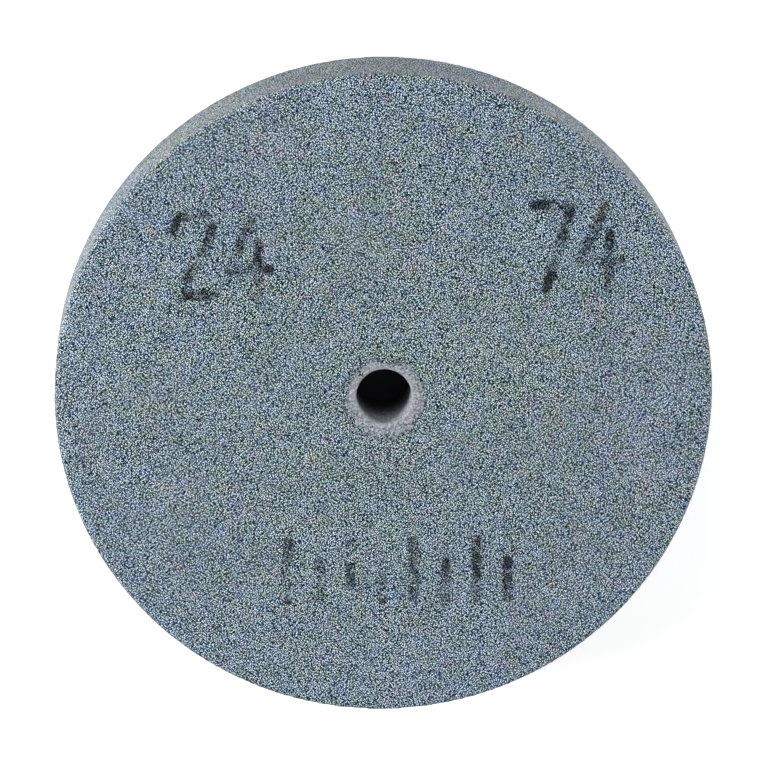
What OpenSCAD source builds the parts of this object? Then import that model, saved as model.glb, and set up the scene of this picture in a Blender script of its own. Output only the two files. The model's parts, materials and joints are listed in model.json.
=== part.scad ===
// Bench grinding wheel: a flat disc of bonded abrasive with a bush cast into its arbor hole.
// The wheel lies on one side face. The bore runs along Z and the origin is the centre of the lower face.

/* [Wheel] */
// Outside diameter across the grinding face
wheel_d = 150; // [100:1:250]
// Thickness between the two side faces
wheel_t = 20; // [13:0.5:40]
// Radius of the rubbed edges where the grinding face meets each side
edge_r = 0.6; // [0.3:0.1:2]

/* [Bush] */
// Diameter of the arbor bore
bore_d = 12.7; // [8:0.1:32]
// Rounding of the bore's two mouths
mouth_r = 0.5; // [0.2:0.1:1]
// Mean thickness of the bush between the bore and the rough hole in the wheel
bush_wall = 2.75; // [2.6:0.05:6]
// How far the rough hole lies off the trued bore
hole_offset = 0.55; // [0:0.05:0.6]

/* [Rough hole] */
// Depth of the broad lobes round the rough hole
lobe_depth = 0.25; // [0:0.05:0.35]
// Depth of the fine ripple that the coarse grit leaves on those lobes
grit_depth = 0.2; // [0:0.05:0.3]
// Turn of the lobes for each millimetre of depth, in degrees
lobe_drift = 3; // [0:0.5:5]

/* [Hidden] */
$fn = 180;

// Steps in each quarter round
ARC_STEPS = 6;
// How far a cut runs past a face
PAST = 1;
// Points round the rough hole, and the height that each of its rings covers at most
HOLE_POINTS = 96;
HOLE_RING_H = 3.5;
// Direction in which the rough hole lies off the bore, seen from above
OFFSET_ANGLE = -90;
// The outline's waves, each with its count round the hole and its starting angle
BROAD_WAVES = [[3, 8], [6, 146]];
FINE_WAVES = [[12, 159], [19, 40]];

wheel_r = wheel_d / 2;
bore_r = bore_d / 2;
hole_r = bore_r + bush_wall;
hole_rings = ceil(wheel_t / HOLE_RING_H);

// Points of a quarter round of radius r about a centre, from one angle to another
function arc(centre, r, from, to) =
    [for (i = [0:ARC_STEPS])
        let (a = from + (to - from) * i / ARC_STEPS)
        centre + r * [cos(a), sin(a)]];

// Sum of a list of waves at an angle, for an outline turned by a phase
function waves(list, angle, phase) =
    let (heights = [for (w = list) sin(w[0] * (angle + phase) + w[1])])
    heights * [for (h = heights) 1];

// Radius of the rough hole at an angle and a height: its lobes wander as they go down
function rough_r(angle, z) =
    let (phase = lobe_drift * (wheel_t - z))
    hole_r
    + lobe_depth * waves(BROAD_WAVES, angle, phase)
    + grit_depth * waves(FINE_WAVES, angle, -phase);

// One ring of the rough hole's wall, which keeps its outline where it runs on past a face
function rough_ring(z) =
    [for (i = [0:HOLE_POINTS - 1])
        let (a = 360 * i / HOLE_POINTS, r = rough_r(a, max(0, min(wheel_t, z))))
        [r * cos(a) + hole_offset * cos(OFFSET_ANGLE), r * sin(a) + hole_offset * sin(OFFSET_ANGLE), z]];

// The space inside the rough hole, which the bush fills from face to face. As a cut it runs past both faces
module rough_plug(past = 0) {
    heights = concat(
        past > 0 ? [-past] : [],
        [for (k = [0:hole_rings]) wheel_t * k / hole_rings],
        past > 0 ? [wheel_t + past] : []
    );
    last = len(heights) - 1;
    points = [for (z = heights) each rough_ring(z)];
    walls = [for (k = [0:last - 1], i = [0:HOLE_POINTS - 1])
        let (
            low = k * HOLE_POINTS,
            high = low + HOLE_POINTS,
            next = (i + 1) % HOLE_POINTS
        )
        each [[low + i, high + i, high + next], [low + i, high + next, low + next]]];
    lower_end = [for (i = [0:HOLE_POINTS - 1]) i];
    upper_end = [for (i = [HOLE_POINTS - 1:-1:0]) last * HOLE_POINTS + i];
    polyhedron(points, concat([lower_end, upper_end], walls));
}

// The true bore with its rounded mouths, as it is cut from the bush
module bore_cut() {
    mouth = bore_r + mouth_r;
    rotate_extrude()
        polygon(concat(
            [[0, -PAST], [mouth, -PAST]],
            arc([mouth, mouth_r], mouth_r, 270, 180),
            arc([mouth, wheel_t - mouth_r], mouth_r, 180, 90),
            [[mouth, wheel_t + PAST], [0, wheel_t + PAST]]
        ));
}

// The wheel: one moulded and fired body, with its edges rubbed round and the rough hole through it
module abrasive_wheel() {
    color([0.47, 0.53, 0.56])
        difference() {
            rotate_extrude()
                polygon(concat(
                    [[0, 0]],
                    arc([wheel_r - edge_r, edge_r], edge_r, 270, 360),
                    arc([wheel_r - edge_r, wheel_t - edge_r], edge_r, 0, 90),
                    [[0, wheel_t]]
                ));
            rough_plug(PAST);
        }
}

// The bush: cast into the rough hole, so that it takes the shape of the grit, and then bored true
module arbor_bush() {
    color([0.66, 0.67, 0.70])
        difference() {
            rough_plug();
            bore_cut();
        }
}

abrasive_wheel();
arbor_bush();
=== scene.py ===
import json
import math

import bpy
from mathutils import Matrix, Vector


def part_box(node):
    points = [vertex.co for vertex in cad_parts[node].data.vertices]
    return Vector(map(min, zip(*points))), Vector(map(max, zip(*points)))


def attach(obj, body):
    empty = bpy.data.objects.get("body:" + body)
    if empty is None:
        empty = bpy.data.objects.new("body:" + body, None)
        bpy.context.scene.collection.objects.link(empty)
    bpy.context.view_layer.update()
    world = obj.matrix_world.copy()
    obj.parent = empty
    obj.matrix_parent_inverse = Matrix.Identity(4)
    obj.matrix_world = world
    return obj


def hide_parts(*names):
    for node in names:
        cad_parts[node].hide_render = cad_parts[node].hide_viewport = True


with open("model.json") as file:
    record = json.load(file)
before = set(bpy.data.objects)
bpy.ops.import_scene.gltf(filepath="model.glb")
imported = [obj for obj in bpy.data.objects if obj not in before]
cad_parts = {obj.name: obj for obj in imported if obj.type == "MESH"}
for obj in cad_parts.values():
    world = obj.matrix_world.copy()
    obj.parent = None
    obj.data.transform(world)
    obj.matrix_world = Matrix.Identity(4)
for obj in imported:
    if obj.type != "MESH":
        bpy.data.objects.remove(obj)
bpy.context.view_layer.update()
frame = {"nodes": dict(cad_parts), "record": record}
wheel_low, wheel_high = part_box("abrasive_wheel")
bush_low, bush_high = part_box("arbor_bush")

MM = 0.001
wheel_r_mm = (wheel_high.x - wheel_low.x) / 2 / MM
wheel_t_mm = (wheel_high.z - wheel_low.z) / MM
bore = next(m for m in frame["record"]["mounts"] if m["name"] == "arbor_bore")
bore_r_mm = bore["dims"]["r_mm"]
face_centre = Vector((0, 0, wheel_high.z))
print(f"wheel {2 * wheel_r_mm:.1f} mm across, {wheel_t_mm:.1f} mm thick, bore {2 * bore_r_mm:.1f} mm")

# %% [markdown]
# ## The camera
# The wheel lies on its side face and the camera looks down on it, leaning 15 degrees off the bore's axis,
# so that a narrow band of the grinding face shows along the top of the picture. A long lens from more
# than a metre away keeps the disc nearly round. The turn is built from three axes and not from a tracking
# constraint, because a camera that looks almost straight down has no useful "up" of its own: here the
# picture's up is the wheel's +Y.
# %% Place the camera
PICTURE_SIDE = 768
PIXELS_PER_MM = 4.393
CAMERA_DISTANCE = 1.2
CAMERA_AZIMUTH = 98.0
CAMERA_ELEVATION = 74.9
PICTURE_UP = Vector((0, 1, 0))
FACE_CENTRE_IN_PICTURE = (384.1, 396.7)
SENSOR_MM = 36.0
NEAREST_SEEN = 0.05
FARTHEST_SEEN = 50.0


def towards(azimuth, elevation):
    """The direction from the wheel to the camera or a lamp, by two angles in degrees."""
    a = math.radians(azimuth)
    e = math.radians(elevation)
    return Vector((math.cos(a) * math.cos(e), math.sin(a) * math.cos(e), math.sin(e)))


camera_data = bpy.data.cameras.new("camera")
camera = bpy.data.objects.new("camera", camera_data)
bpy.context.scene.collection.objects.link(camera)
bpy.context.scene.camera = camera
camera_data.sensor_width = SENSOR_MM
camera_data.lens = SENSOR_MM * PIXELS_PER_MM * CAMERA_DISTANCE / MM / PICTURE_SIDE
camera_data.clip_start = NEAREST_SEEN
camera_data.clip_end = FARTHEST_SEEN

back = towards(CAMERA_AZIMUTH, CAMERA_ELEVATION)
right = PICTURE_UP.cross(back).normalized()
up = back.cross(right)
turn = Matrix((right, up, back)).transposed().to_4x4()
camera.matrix_world = Matrix.Translation(face_centre + CAMERA_DISTANCE * back) @ turn
camera_data.shift_x = (PICTURE_SIDE / 2 - FACE_CENTRE_IN_PICTURE[0]) / PICTURE_SIDE
camera_data.shift_y = (FACE_CENTRE_IN_PICTURE[1] - PICTURE_SIDE / 2) / PICTURE_SIDE
print(f"lens {camera_data.lens:.1f} mm, shift {camera_data.shift_x:.4f}, {camera_data.shift_y:.4f}")

# %% [markdown]
# ## Light
# Grit shows only if light rakes over it, so the main lamp stands low on the left. Two weaker ones open
# the shadows on the right and at the top of the picture, where they light the grinding face and the first
# few millimetres of the bore. Wide discs were chosen, and not spots, because a wide lamp leaves no
# hard-edged shadow.
# %% Hang the lamps
LAMPS = {
    "left_softbox": {"azimuth": 180, "elevation": 25, "size": 0.5, "watts": 16.0},
    "right_softbox": {"azimuth": 0, "elevation": 17, "size": 0.6, "watts": 11.0},
    "top_softbox": {"azimuth": 108, "elevation": 28, "size": 0.8, "watts": 3.7},
}
LAMP_DISTANCE = 1.2

for name, lamp in LAMPS.items():
    light = bpy.data.lights.new(name, "AREA")
    light.shape = "DISK"
    light.size = lamp["size"]
    light.energy = lamp["watts"]
    aim = towards(lamp["azimuth"], lamp["elevation"])
    holder = bpy.data.objects.new(name, light)
    holder.location = face_centre + LAMP_DISTANCE * aim
    holder.rotation_mode = "QUATERNION"
    holder.rotation_quaternion = aim.to_track_quat("Z", "Y")
    bpy.context.scene.collection.objects.link(holder)
print(f"{len(LAMPS)} lamps, {sum(lamp['watts'] for lamp in LAMPS.values()):.0f} W in all")

# %% [markdown]
# ## Writing shaders as sums
# A finish is easiest to read as a formula. This small class wraps a node's output, so that Python's own
# signs for plus, minus, times and divided by add the Math nodes, also when a plain number comes first, as
# in 1 - mask. Every other node comes from one method, which takes the node's type, its settings and the
# values or links of its sockets. The Mix node keeps sockets for numbers, vectors and colours side by side:
# those for colours are 6 and 7, and 2 on the way out.
# %% The class behind the formulas


class Wire:
    """A node's output, for use in formulas. One without an output only starts a tree."""

    def __init__(self, tree, output=None):
        self.tree = tree
        self.output = output

    def node(self, kind, settings=None, inputs=None, output=0):
        made = self.tree.nodes.new(kind)
        for name, value in (settings or {}).items():
            setattr(made, name, value)
        for name, value in (inputs or {}).items():
            if isinstance(value, Wire):
                self.link(value, made, name)
            else:
                made.inputs[name].default_value = value
        return Wire(self.tree, made.outputs[output])

    def other(self, output):
        """Another output of the same node."""
        return Wire(self.tree, self.output.node.outputs[output])

    def link(self, wire, node, socket):
        self.tree.links.new(wire.output, node.inputs[socket])

    def maths(self, operation, *values):
        return self.node("ShaderNodeMath", {"operation": operation}, dict(enumerate(values)))

    def __add__(self, other):
        return self.maths("ADD", self, other)

    def __radd__(self, other):
        return self.maths("ADD", other, self)

    def __sub__(self, other):
        return self.maths("SUBTRACT", self, other)

    def __rsub__(self, other):
        return self.maths("SUBTRACT", other, self)

    def __mul__(self, other):
        return self.maths("MULTIPLY", self, other)

    def __rmul__(self, other):
        return self.maths("MULTIPLY", other, self)

    def __truediv__(self, other):
        return self.maths("DIVIDE", self, other)

    def fade(self, low, high):
        """0 below low and 1 above high, with a soft step between, or the other way round if low is above."""
        settings = {"interpolation_type": "SMOOTHSTEP", "clamp": True}
        return self.node("ShaderNodeMapRange", settings, {0: self, 1: low, 2: high})

    def mix(self, first, second):
        """A colour between two others, with this wire as the share of the second."""
        settings = {"data_type": "RGBA", "clamp_factor": True}
        return self.node("ShaderNodeMix", settings, {0: self, 6: first, 7: second}, output=2)

    def vector(self, operation, *values, output=0):
        settings = {"operation": operation}
        return self.node("ShaderNodeVectorMath", settings, dict(enumerate(values)), output)

    def scaled(self, factor):
        return self.node("ShaderNodeVectorMath", {"operation": "SCALE"}, {0: self, "Scale": factor})


print("a formula can use:", ", ".join(name for name in vars(Wire) if not name.startswith("_")))

# %% [markdown]
# ## Starting a finish
# Each finish is one Principled shader. What is the same all over a piece is set straight on the shader's
# sockets, and only what changes from place to place is worked out by nodes. Colours are written as a
# paint chart gives them, from 0 to 255, and a shader wants amounts of light, so they pass through the
# sRGB curve first.
# %% Start a finish


def linear(red, green, blue):
    """A colour from a paint chart as the light values that shaders take."""
    share = [c / 255 for c in (red, green, blue)]
    return (*[c / 12.92 if c <= 0.04045 else ((c + 0.055) / 1.055) ** 2.4 for c in share], 1.0)


def new_finish(name, everywhere):
    """A material, its Principled shader with what is the same all over, and a wire to start formulas."""
    material = bpy.data.materials.new(name)
    material.use_nodes = True
    paint = material.node_tree.nodes["Principled BSDF"]
    for socket, value in everywhere.items():
        paint.inputs[socket].default_value = value
    return material, paint, Wire(material.node_tree)


print(f"a grey of 128 on the chart is {linear(128, 128, 128)[0]:.3f} of the light")

# %% [markdown]
# ## The table under the wheel
# A pale, matt sheet takes the soft shadow. To the camera, and in anything shiny, it glows a little on top
# of its own light, so that the picture's background comes out white while nothing extra shines on the
# wheel. The glow ends under the wheel, and there the sheet carries a painted shade: a dark disc, which is
# looked at through the bore, so that what lies behind the bore comes out black.
# %% Lay the table
TABLE_SIDE = 6.0
WHITE = (1.0, 1.0, 1.0, 1.0)
SHEET_COLOUR = linear(236, 236, 236)
SHEET_FINISH = {"Roughness": 0.9, "Specular IOR Level": 0.1}
PAINTED_SHADE_COLOUR = linear(70, 70, 74)
PAINTED_SHADE_R = 0.03
PAINTED_SHADE_EDGE = 0.01
GLOW = 0.55
BACKGROUND_RAYS = ("Is Camera Ray", "Is Glossy Ray", "Is Transmission Ray")


def seen(start):
    """1 for what is looked at, also in a mirror or through glass, and 0 for light on its way."""
    rays = [start.node("ShaderNodeLightPath", output=ray) for ray in BACKGROUND_RAYS]
    return rays[0] + rays[1] + rays[2]


bpy.ops.mesh.primitive_plane_add(size=TABLE_SIDE)
table = bpy.context.object
table.name = "table"

sheet, paint, start = new_finish("pale_sheet", SHEET_FINISH)
place = start.node("ShaderNodeTexCoord", output="Object")
# Painted shade: the sheet is dark within 30 mm of the bore's axis, under the wheel, and glows only outside
# that.
outside_painted_shade = start.vector("LENGTH", place, output="Value").fade(PAINTED_SHADE_R, PAINTED_SHADE_R + PAINTED_SHADE_EDGE)
start.link(outside_painted_shade.mix(PAINTED_SHADE_COLOUR, SHEET_COLOUR), paint, "Base Color")
glow = start.node("ShaderNodeEmission", inputs={"Color": WHITE, "Strength": GLOW * outside_painted_shade * seen(start)})
own_light = Wire(start.tree, paint.outputs["BSDF"])
sheet_light = start.node("ShaderNodeAddShader", inputs={0: own_light, 1: glow})
start.link(sheet_light, start.tree.nodes["Material Output"], "Surface")
table.data.materials.append(sheet)
print(f"table {TABLE_SIDE:.0f} m, dark within {PAINTED_SHADE_R / MM:.0f} mm of the bore's axis")

# %% [markdown]
# ## The room
# Past the table there is only an even sky. It is white to the camera and to reflections, and dim to
# everything else, so that it fills the shadows without flattening the grit.
# %% Paint the sky
SKY_FILL = 0.24

world = bpy.data.worlds.new("sky")
bpy.context.scene.world = world
world.use_nodes = True
background = world.node_tree.nodes["Background"]
background.inputs["Color"].default_value = WHITE
sky = Wire(world.node_tree)
sky.link(SKY_FILL + (1 - SKY_FILL) * seen(sky), background, "Strength")
bpy.context.scene.view_settings.view_transform = "Standard"
print("sky fill", SKY_FILL)

# %% [markdown]
# ## Starting from a solid
# Both pieces already have the right form in the solid model, so each new piece starts as a copy of its
# solid. The copy is made of loose triangles, long and thin ones too, which can't take any relief. So it
# is merged, and Voxel Remesh turns it into an even net of small squares.
# %% A net over a solid
MERGE_WITHIN = 0.001 * MM


def edit(piece):
    """Opens a piece in edit mode, with nothing else selected."""
    bpy.ops.object.select_all(action="DESELECT")
    piece.select_set(True)
    bpy.context.view_layer.objects.active = piece
    bpy.ops.object.mode_set(mode="EDIT")


def net_over(node, name, cell):
    """A piece of its own in the form of a solid, as a closed net of squares."""
    piece = bpy.data.objects.new(name, frame["nodes"][node].data.copy())
    piece.data.materials.clear()
    bpy.context.scene.collection.objects.link(piece)
    edit(piece)
    bpy.ops.mesh.select_all(action="SELECT")
    bpy.ops.mesh.remove_doubles(threshold=MERGE_WITHIN)
    bpy.ops.object.mode_set(mode="OBJECT")
    net = piece.modifiers.new("net", "REMESH")
    net.mode = "VOXEL"
    net.voxel_size = cell
    bpy.ops.object.modifier_apply(modifier=net.name)
    return piece


def select_beyond(piece, radius):
    """Opens a piece in edit mode, with the points selected that lie beyond a radius from the bore's axis."""
    edit(piece)
    bpy.ops.mesh.select_mode(type="VERT")
    bpy.ops.mesh.select_all(action="DESELECT")
    bpy.ops.object.mode_set(mode="OBJECT")
    for point in piece.data.vertices:
        point.select = math.hypot(point.co.x, point.co.y) > radius
    bpy.ops.object.mode_set(mode="EDIT")


print("solids to start from:", ", ".join(sorted(frame["nodes"])))

# %% [markdown]
# ## The skin of grit: its shape
# A grinding wheel is grains of less than half a millimetre, fired together with open pores between them. A
# net as fine as that would be too heavy, so one square covers a few grains and carries the broader
# unevenness of the skin, and the finish draws the grains themselves. Every point is first drawn in a
# little, and Randomize Vertices then moves it up or down by no more than that, so that the skin never grows
# past the solid's size. Round the bore the points stay where they are, because the cast bush and the skin
# meet flush there.
# %% Net the wheel and make its skin uneven
SKIN_CELL = 0.72 * MM
SKIN_RELIEF = 0.03 * MM
SKIN_SEED = 11
FLUSH_R = 11.5 * MM

wheel = net_over("abrasive_wheel", "grit_wheel", SKIN_CELL)
select_beyond(wheel, FLUSH_R)
bpy.ops.transform.shrink_fatten(value=-SKIN_RELIEF)
bpy.ops.transform.vertex_random(offset=SKIN_RELIEF, uniform=0.0, normal=1.0, seed=SKIN_SEED)
bpy.ops.object.mode_set(mode="OBJECT")
bpy.ops.object.shade_smooth()
triangles = sum(len(p.vertices) - 2 for p in wheel.data.polygons)
print(f"grit skin: {len(wheel.data.vertices)} points, {triangles} triangles")

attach(wheel, "root")
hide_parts("abrasive_wheel")

# %% [markdown]
# ## The cast bush: its shape
# The bush was poured into the rough hole and ran a little way into the grit. So its outer points are
# pushed out by a third of a millimetre, into the skin, which leaves no slit between the two. The bore
# stays as it is, because a spindle has to fit it.
# %% Net the bush and let it run into the grit
BUSH_CELL = 0.3 * MM
BORE_CLEAR_R = 7.6 * MM
RUN_IN = 1.04
rough_centre = Vector(((bush_low.x + bush_high.x) / 2, (bush_low.y + bush_high.y) / 2, 0))

bush = net_over("arbor_bush", "cast_bush", BUSH_CELL)
select_beyond(bush, BORE_CLEAR_R)
bpy.ops.transform.resize(value=(RUN_IN, RUN_IN, 1), center_override=rough_centre)
bpy.ops.object.mode_set(mode="OBJECT")
bpy.ops.object.shade_smooth()
print(f"bush: {len(bush.data.vertices)} points, {rough_centre.length / MM:.2f} mm off the bore's axis")

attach(bush, "root")
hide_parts("arbor_bush")

# %% [markdown]
# ## Stencilled marks: their strokes
# The upper face carries worn stencilled marks: two numbers and a row of bars. Text objects would give
# printed letters with crisp edges, and these marks were dabbed through a stencil on to coarse grit, so
# each is drawn here with a few straight strokes, in heights of its own from its lower left corner. A mark
# also says how much of its ink is left.
# %% Draw the marks as strokes
NUMBER_H = 20.0
TWO = [
    (0.0, 0.78), (0.04, 0.92), (0.22, 1.0), (0.38, 0.93),
    (0.43, 0.76), (0.36, 0.55), (0.02, 0.03), (0.46, 0.03),
]
FOUR = [(0.30, 1.0), (0.0, 0.32), (0.46, 0.32)]
FOUR_STEM = [(0.33, 0.62), (0.33, 0.0)]
SEVEN = [(0.0, 0.97), (0.42, 0.97), (0.14, 0.0)]
BAR = [(0.0, 0.0), (0.0, 1.0)]
MARKS = [
    {"lines": [TWO], "place": (-47.5, 23.5), "height": NUMBER_H, "ink": 0.78},
    {"lines": [FOUR, FOUR_STEM], "place": (-35.0, 23.5), "height": NUMBER_H, "ink": 0.76},
    {"lines": [SEVEN], "place": (34.0, 25.0), "height": NUMBER_H, "ink": 0.88},
    {"lines": [FOUR, FOUR_STEM], "place": (44.5, 25.0), "height": NUMBER_H, "ink": 0.8},
]
BARS = 8
FIRST_BAR = (-22.0, -48.0)
BAR_PITCH = 7.2
BAR_HEIGHTS = (14.0, 9.0)
FIRST_BAR_INK = 0.61
MORE_INK_EACH = 0.035

for k in range(BARS):
    place = (FIRST_BAR[0] + BAR_PITCH * k, FIRST_BAR[1])
    ink = FIRST_BAR_INK + MORE_INK_EACH * k
    MARKS.append({"lines": [BAR], "place": place, "height": BAR_HEIGHTS[k % 2], "ink": ink})

strokes = []
for mark in MARKS:
    left, foot = mark["place"]
    for line in mark["lines"]:
        points = [(left + mark["height"] * u, foot + mark["height"] * v) for u, v in line]
        strokes += [(a, b, mark["ink"]) for a, b in zip(points, points[1:])]
print(f"{len(MARKS)} marks of {len(strokes)} strokes")

# %% [markdown]
# ## Stencilled marks: on the skin
# A shader can't read a list of strokes. So the distance from every point of the skin to the nearest
# stroke is written on the skin as an attribute, together with how much ink is left there. The finish of
# the grit turns both into worn paint.
# %% Write the strokes on the skin
FAR_MM = 9.0


def from_stroke(x, y, a, b):
    """Distance in plan from a place to the straight stroke between two others."""
    run_x = b[0] - a[0]
    run_y = b[1] - a[1]
    share = ((x - a[0]) * run_x + (y - a[1]) * run_y) / (run_x * run_x + run_y * run_y)
    share = min(max(share, 0.0), 1.0)
    return math.hypot(x - a[0] - share * run_x, y - a[1] - share * run_y)


from_ink = wheel.data.attributes.new("from_ink_mm", "FLOAT", "POINT")
ink_left = wheel.data.attributes.new("ink_left", "FLOAT", "POINT")
inked = 0
for point in wheel.data.vertices:
    x, y, z = point.co / MM
    nearest = (FAR_MM, 0.0)
    if z > wheel_t_mm / 2:
        nearest = min([nearest] + [(from_stroke(x, y, a, b), ink) for a, b, ink in strokes])
    from_ink.data[point.index].value = nearest[0]
    ink_left.data[point.index].value = nearest[1]
    inked += nearest[0] < FAR_MM
print(f"{inked} points lie within {FAR_MM:.0f} mm of a stroke")

# %% [markdown]
# ## Noise in millimetres
# Much of what follows drifts from place to place: the hue of the fired body, the mottle of the casting,
# the wear of the ink. All of it is soft noise, of a size in millimetres. A shift moves one pattern away
# from another, so that two of the same size don't rise and fall together.
# %% Noise, drifts and spots
NOISE_ROUGHNESS = 0.6
NOISE_MEAN = 0.5


def noise(start, place_mm, kind):
    """Soft noise from 0 to 1, of a size in millimetres, and a detail and a shift where given."""
    shift = kind.get("shift", 0.0)
    inputs = {
        "Vector": start.vector("ADD", place_mm, (shift, shift, shift)),
        "Scale": 1 / kind["size"],
        "Detail": kind.get("detail", 1.0),
        "Roughness": NOISE_ROUGHNESS,
    }
    return start.node("ShaderNodeTexNoise", inputs=inputs)


def drift(start, place_mm, kind):
    """Noise as a drift up and down about nothing, by half its reach at most."""
    return kind["reach"] * (noise(start, place_mm, kind) - NOISE_MEAN)


def spots(start, place_mm, kind):
    """Soft-edged spots where noise is high, as strong as their reach."""
    return kind["reach"] * noise(start, place_mm, kind).fade(kind["from"], kind["to"])


print(f"noise between 0 and 1 about {NOISE_MEAN}")

# %% [markdown]
# ## Grains as a field
# Grains come in more than one size, so there are two cell patterns, a coarse one and a fine one: each is
# high in the middle of its cells and low between them. Each is turned by angles of its own, because a
# cell pattern that lies square to a flat face shows rows there. The colour also carries painted light and
# shade, as raking light would give it: a grain is painted lighter on the flanks that face the left and top
# lamps, and darker on the far ones. A flank is found by looking a quarter of a millimetre to the side, so
# a share of the height there is taken off the height here.
# %% Grains as a field
COARSE = {"size": 0.34, "turn": (0.5, 0.3, 0.2)}
FINE = {"size": 0.28, "turn": (-0.4, 0.7, 1.1)}
MEAN_DISTANCE = 0.55
TO_THE_LEFT_MM = (-0.256, 0.0, 0.0)
UPWARDS_MM = (0.0, 0.256, 0.0)
PAINTED_LIGHT_SHARE = 0.32


def cells(start, place_mm, kind):
    """How far each place stands above the mean of a cell pattern, and each cell's colour of chances."""
    turned = start.node("ShaderNodeMapping", inputs={"Vector": place_mm, "Rotation": kind["turn"]})
    inputs = {"Vector": turned, "Scale": 1 / kind["size"]}
    distance = start.node("ShaderNodeTexVoronoi", inputs=inputs, output="Distance")
    return MEAN_DISTANCE - distance, distance.other("Color")


def grain_fields(start, place_mm):
    """The height of the grains, that height with painted flank light and shade, and the chances of each
    grain.
    """
    coarse, chance = cells(start, place_mm, COARSE)
    fine = cells(start, place_mm, FINE)[0]
    beside = cells(start, start.vector("ADD", place_mm, TO_THE_LEFT_MM), COARSE)[0]
    above = cells(start, start.vector("ADD", place_mm, UPWARDS_MM), FINE)[0]
    grains = coarse + fine
    # Painted light and shade: each grain comes out lighter on the flanks that face left and up, and darker
    # on the far flanks.
    return grains, grains - PAINTED_LIGHT_SHARE * (beside + above), chance


print(f"grains of {FINE['size']} and {COARSE['size']} mm")

# %% [markdown]
# ## Cement as a field
# The grit and the cast bush run into each other, so both finishes read one field that says where cement
# covers the grit. It ends where the rough hole does, in broad lobes, made ragged by noise of two sizes
# and by the grains. Each piece can show some of the other's colour, so no seam shows between them.
# %% Cement as a field
CEMENT_R_MM = 8.95
CEMENT_LOBES = {3: math.radians(8), 6: math.radians(146)}
CEMENT_LOBE_MM = 0.25
CEMENT_BROAD = {"size": 3.0, "reach": 4.0}
CEMENT_FINE = {"size": 0.9, "reach": 4.0, "detail": 2.0, "shift": 7.0}
CEMENT_GRAIN_REACH = 1.2
CEMENT_SOFT_MM = 0.12
IN_PLAN = (1, 1, 0)


def cement_field(start, place_mm, grains):
    """1 where cement covers the grit and 0 where it doesn't."""
    flat = start.vector("MULTIPLY", start.vector("SUBTRACT", place_mm, rough_centre / MM), IN_PLAN)
    x = start.node("ShaderNodeSeparateXYZ", inputs={"Vector": flat}, output="X")
    angle = start.maths("ARCTAN2", x.other("Y"), x)
    edge = CEMENT_R_MM + CEMENT_GRAIN_REACH * grains
    for count, begin in CEMENT_LOBES.items():
        edge = edge + CEMENT_LOBE_MM * start.maths("SINE", count * angle + begin)
    edge = edge + drift(start, place_mm, CEMENT_BROAD) + drift(start, place_mm, CEMENT_FINE)
    return (edge - start.vector("LENGTH", flat, output="Value")).fade(-CEMENT_SOFT_MM, CEMENT_SOFT_MM)


def fields(start):
    """The place in millimetres, the radius from the bore's axis, the grain fields and the cement."""
    place_mm = start.node("ShaderNodeTexCoord", output="Object").scaled(1 / MM)
    radius = start.vector("LENGTH", start.vector("MULTIPLY", place_mm, IN_PLAN), output="Value")
    grains, grains_with_painted_light, chance = grain_fields(start, place_mm)
    return place_mm, radius, grains, grains_with_painted_light, chance, cement_field(start, place_mm, grains)


print(f"cement out to about {CEMENT_R_MM} mm, in {' and '.join(str(n) for n in CEMENT_LOBES)} lobes")

# %% [markdown]
# ## Colours as a shade and a cast
# On a real wheel a dark pore and a bright grain lie off grey by about the same amount. That holds for
# colours as a paint chart writes them, and not for the light values that a shader takes. So a finish is
# written here as one shade from 0 to 1, with what red and blue add to it, a little less where it is
# light, and the Gamma node turns the sum into light at the end.
# %% From a shade to light
CHART_GAMMA = 2.2
CAST_FADES = 0.45
DARKEST = 0.09
LIGHTEST = 0.98


def chart(start, shade, red, blue):
    """A colour near grey: a shade, and what red and blue add to it."""
    held = start.maths("MINIMUM", start.maths("MAXIMUM", shade, DARKEST), LIGHTEST)
    cast = 1 - CAST_FADES * held
    red_part = start.maths("MAXIMUM", held + red * cast, 0.0)
    written = start.node("ShaderNodeCombineColor", inputs={0: red_part, 1: held, 2: held + blue * cast})
    return start.node("ShaderNodeGamma", inputs={"Color": written, "Gamma": CHART_GAMMA})


print(f"shades are held between {DARKEST} and {LIGHTEST}")

# %% [markdown]
# ## The colour of the cement
# The pale casting is a finer grey than the grit: mottled, a little warmer in places, and smooth and
# faintly ringed where the bore's mouth was turned. The rings are noise that reads nothing but the radius.
# %% Colour of the cement
CEMENT_MIDDLE = 0.565
CEMENT_RED = -0.039
CEMENT_BLUE = 0.035
CEMENT_GRAIN_SHOWS = 0.18
MOTTLE = {"size": 0.55, "reach": 1.3, "detail": 3.0, "shift": 3.0}
WARM_PATCH = {"size": 4.0, "reach": 0.03, "shift": 11.0, "from": 0.45, "to": 0.65}
LIP_MM = 1.8
LIP_FULL_MM = 0.3
LIP_LIGHT = 0.05
LIP_CALMS = 0.5
TURNED_RING = {"size": 0.45, "reach": 0.35}


def cement_colour(start, place_mm, radius, grains):
    """The pale casting, with its mottle, its warm patches and its turned lip."""
    lip = radius.fade(bore_r_mm + LIP_MM, bore_r_mm + LIP_FULL_MM)
    along_radius = start.node("ShaderNodeCombineXYZ", inputs={0: radius})
    rings = drift(start, along_radius, TURNED_RING)
    mottle = drift(start, place_mm, MOTTLE) * (1 - LIP_CALMS * lip)
    shade = CEMENT_MIDDLE + CEMENT_GRAIN_SHOWS * grains + mottle + lip * (rings + LIP_LIGHT)
    return chart(start, shade, CEMENT_RED + spots(start, place_mm, WARM_PATCH), CEMENT_BLUE)


print(f"cement about {CEMENT_MIDDLE}, lip within {LIP_MM} mm of the bore")
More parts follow.
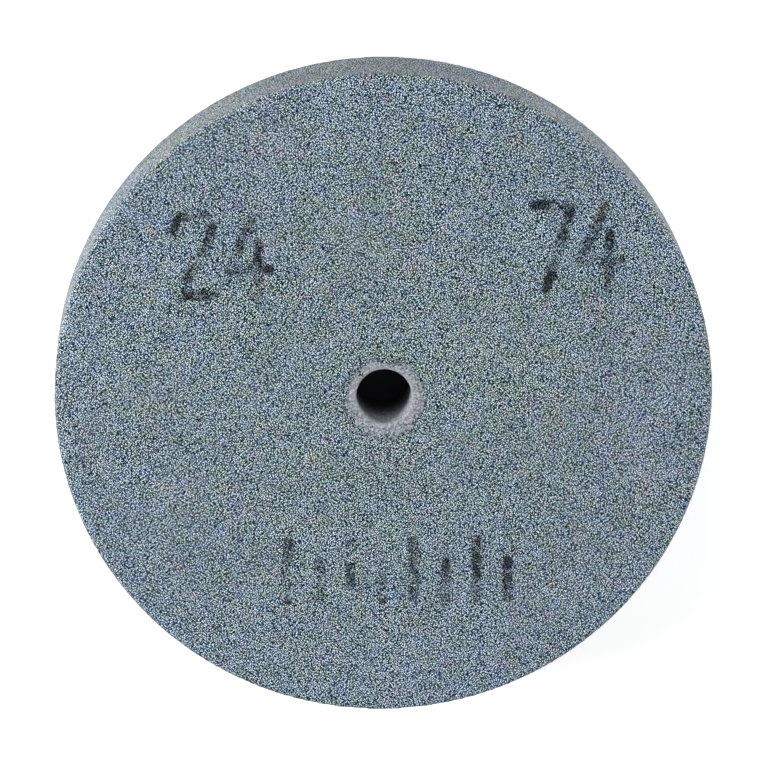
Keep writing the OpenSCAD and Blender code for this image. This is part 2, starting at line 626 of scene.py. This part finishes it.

# %% [markdown]
# ## The finish of the grit: its hue
# The shade follows the grains, with the painted light and shade on their flanks. The fired body's hue
# drifts in patches of a few millimetres, bluer here and pinker there, and turns a little bluer towards
# the rim. The grinding face is dusty: greyer, lighter and with less contrast. It could be a second
# material, but a soft change with the radius leaves no line at the edge.
# %% Shade and hue of the grit
GRAIN_MIDDLE = 0.314
GRAIN_CONTRAST = 1.58
GRIT_RED = -0.115
GRIT_BLUE = 0.050
SLOW_SHADE = {"size": 12.0, "reach": 0.10, "shift": 41.0}
BLUE_PATCH = {"size": 4.0, "reach": 0.25}
SLOW_BLUE = {"size": 20.0, "reach": 0.08, "shift": 51.0}
RED_PATCH = {"size": 4.0, "reach": 0.07, "shift": 61.0}
PINK_SPOT = {"size": 4.5, "reach": 0.06, "shift": 31.0, "from": 0.52, "to": 0.75}
BLUE_TO_RIM = 0.045
HALF_WAY_OUT = 0.5
DUSTY_FROM_MM = 0.9
DUSTY_FULL_MM = 0.3
DUSTY_CONTRAST = 0.6
DUSTY_LIGHT = 0.125
DUSTY_RED = 0.055
DUSTY_BLUE = -0.038
GRIT_FINISH = {"Specular IOR Level": 0.1}

grit, paint, start = new_finish("blue_grey_grit", GRIT_FINISH)
place_mm, radius, grains, grains_with_painted_light, chance, cement = fields(start)
dusty = radius.fade(wheel_r_mm - DUSTY_FROM_MM, wheel_r_mm - DUSTY_FULL_MM)
contrast = GRAIN_CONTRAST * (1 - (1 - DUSTY_CONTRAST) * dusty)
# The grain field here carries painted light and shade on the grain flanks.
shade = GRAIN_MIDDLE + contrast * grains_with_painted_light + drift(start, place_mm, SLOW_SHADE) + DUSTY_LIGHT * dusty
red = GRIT_RED + drift(start, place_mm, RED_PATCH) + spots(start, place_mm, PINK_SPOT) + DUSTY_RED * dusty
blue = GRIT_BLUE + drift(start, place_mm, BLUE_PATCH) + drift(start, place_mm, SLOW_BLUE)
blue = blue + BLUE_TO_RIM * (radius / wheel_r_mm - HALF_WAY_OUT) + DUSTY_BLUE * dusty
bare_grit = chart(start, shade, red, blue)
print(f"grit about {GRAIN_MIDDLE}, dusty over the last {DUSTY_FROM_MM} mm of the radius")

# %% [markdown]
# ## The finish of the grit: ink and cement on it
# Ink lies on top of the grit where it hasn't worn off. A stroke is what lies near enough to its middle
# line, with an edge that noise and the grains make ragged, and noise of a few millimetres rubs some of it
# away. Ink darkens the grit under it and doesn't hide it, so it multiplies the colour. Cement lies round
# the bush, and hides all.
# %% Ink and cement on the grit
INK_TINT = (0.11, 0.10, 0.11)
INK_HALF_WIDTH_MM = 1.05
INK_EDGE_OUT_MM = 0.5
INK_EDGE_IN_MM = 0.4
INK_GRAIN_REACH = 0.25
INK_RAGGED = {"size": 0.9, "reach": 2.0, "detail": 2.0, "shift": 17.0}
INK_WEAR = {"size": 3.2, "detail": 3.0, "shift": 23.0, "from": 0.66, "to": 1.0}
INK_HOLDS = 0.45

from_ink = start.node("ShaderNodeAttribute", {"attribute_name": "from_ink_mm"}, output="Fac")
ink_left = start.node("ShaderNodeAttribute", {"attribute_name": "ink_left"}, output="Fac")
ragged = from_ink + drift(start, place_mm, INK_RAGGED) - INK_GRAIN_REACH * grains
stroke = ragged.fade(INK_HALF_WIDTH_MM + INK_EDGE_OUT_MM, INK_HALF_WIDTH_MM - INK_EDGE_IN_MM)
hold = noise(start, place_mm, INK_WEAR) + INK_HOLDS * ink_left
ink = stroke * hold.fade(INK_WEAR["from"], INK_WEAR["to"])
marked = ink.mix(bare_grit, start.vector("MULTIPLY", bare_grit, INK_TINT))
start.link(cement.mix(marked, cement_colour(start, place_mm, radius, grains)), paint, "Base Color")
print(f"strokes {2 * INK_HALF_WIDTH_MM:.1f} mm wide")

# %% [markdown]
# ## The finish of the grit: its surface
# Fired grit is matt, some grains more than others. Each grain also tips its own way, so that a lamp
# catches a few of them more than their neighbours, and each is a shallow dome. Bump and a tipped normal
# are enough for that: real domes, hundreds of thousands of them, would make the mesh too heavy. Where
# cement fills the grit, most of this goes away.
# %% Roughness and bump of the grit
GRIT_ROUGHNESS = 0.72
GRIT_ROUGHNESS_REACH = 0.2
TIP = 0.12
EVEN_CHANCE = (0.5, 0.5, 0.5)
CEMENT_FILLS = 0.8
GRAIN_BUMP = {"Strength": 0.15, "Distance": 0.1 * MM}

luck = start.node("ShaderNodeSeparateColor", inputs={"Color": chance}, output="Red")
start.link(GRIT_ROUGHNESS + GRIT_ROUGHNESS_REACH * luck, paint, "Roughness")
open_grit = 1 - CEMENT_FILLS * cement
tip = start.vector("SUBTRACT", chance, EVEN_CHANCE).scaled(TIP * open_grit)
normal = start.node("ShaderNodeNewGeometry", output="Normal")
tipped = start.vector("NORMALIZE", start.vector("ADD", normal, tip))
inputs = {**GRAIN_BUMP, "Height": grains * open_grit, "Normal": tipped}
start.link(start.node("ShaderNodeBump", inputs=inputs), paint, "Normal")
wheel.data.materials.append(grit)
print("grit finish:", len(grit.node_tree.nodes), "nodes")

# %% [markdown]
# ## The finish of the bush
# The bush is smooth and matt. Its colour comes from the same fields, and grit shows through where the
# cement is thin. Down the bore the colour carries painted shade: it gets darker and darker with depth,
# as a narrow hole does in soft light, and the last third of a millimetre at the far mouth is painted as
# dark as the depth above it, so that no bright line shows there.
# %% Colour and bump of the bush
PAINTED_DEEP_SHADE = (0.2, 0.2, 0.2, 1.0)
DEEP_FROM_MM = 4.0
DEEP_TO_MM = 18.0
LOWER_MOUTH_STEEP = 60.0
CASTING_FINISH = {"Roughness": 0.8, "Specular IOR Level": 0.05}
CASTING_GRAIN = {"size": 0.5, "detail": 3.0, "shift": 3.0}
CASTING_BUMP = {"Strength": 0.5, "Distance": 0.12 * MM}

casting, paint, start = new_finish("pale_casting", CASTING_FINISH)
place_mm, radius, grains, grains_with_painted_light, chance, cement = fields(start)
# Grit showing through the cement carries the same painted flank light and shade as the grit.
grit_shows = chart(start, GRAIN_MIDDLE + GRAIN_CONTRAST * grains_with_painted_light, GRIT_RED, GRIT_BLUE)
colour = cement.mix(grit_shows, cement_colour(start, place_mm, radius, grains))
height_mm = start.node("ShaderNodeSeparateXYZ", inputs={"Vector": place_mm}, output="Z")
# Painted shade down the bore: darker with depth from each mouth, and very steeply so at the far mouth.
depth_mm = start.maths("MINIMUM", LOWER_MOUTH_STEEP * height_mm, wheel_t_mm - height_mm)
painted_bore_shade = depth_mm.fade(DEEP_FROM_MM, DEEP_TO_MM).mix(WHITE, PAINTED_DEEP_SHADE)
start.link(start.vector("MULTIPLY", colour, painted_bore_shade), paint, "Base Color")
inputs = {**CASTING_BUMP, "Height": noise(start, place_mm, CASTING_GRAIN)}
start.link(start.node("ShaderNodeBump", inputs=inputs), paint, "Normal")
bush.data.materials.append(casting)
print("bush finish:", len(casting.node_tree.nodes), "nodes")
